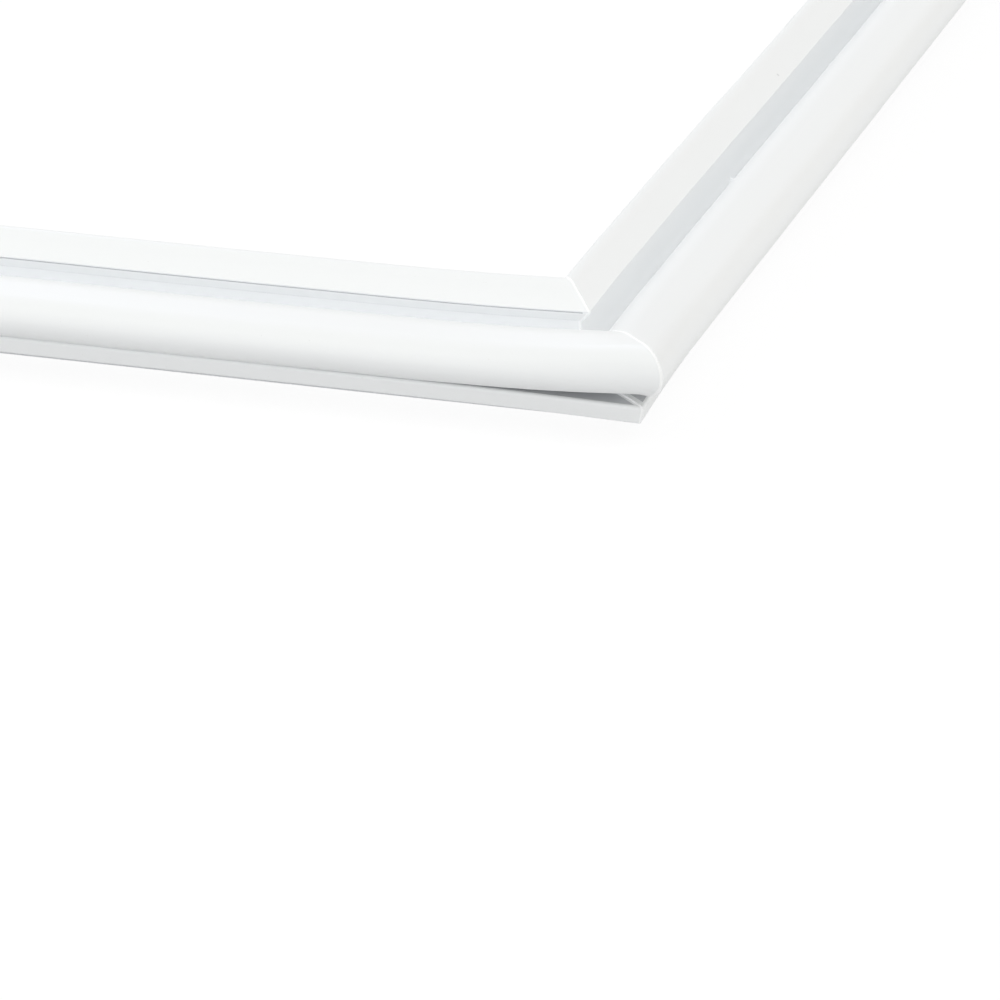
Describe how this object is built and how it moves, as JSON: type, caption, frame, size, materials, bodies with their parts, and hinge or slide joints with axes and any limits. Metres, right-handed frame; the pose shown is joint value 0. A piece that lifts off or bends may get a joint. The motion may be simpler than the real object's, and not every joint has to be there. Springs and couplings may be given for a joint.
{
  "type": "refrigerator door gasket",
  "caption": "Rectangular magnetic door seal of white soft vinyl: tilted magnet pocket on a bellows, open valley, hollow outer roll, and a base with two lips and a barbed push-in dart.",
  "frame": {"origin": "middle of the frame, at the height of the dart tips that it rests on", "axes": "+X across the door, +Y along the longer side of the door, +Z from the door towards the cabinet"},
  "size_m": [0.5206, 0.7006, 0.0309],
  "materials": {
    "white_vinyl": "soft white vinyl, satin, smooth from the extrusion die, with a fine weld bead at each corner",
    "flexible_magnet": "dull dark brown ferrite-filled rubber strip"
  },
  "bodies": {
    "root": {"gasket_frame": "white_vinyl", "magnet_strip_right": "flexible_magnet", "magnet_strip_back": "flexible_magnet", "magnet_strip_left": "flexible_magnet", "magnet_strip_front": "flexible_magnet"}
  },
  "joints": []
}
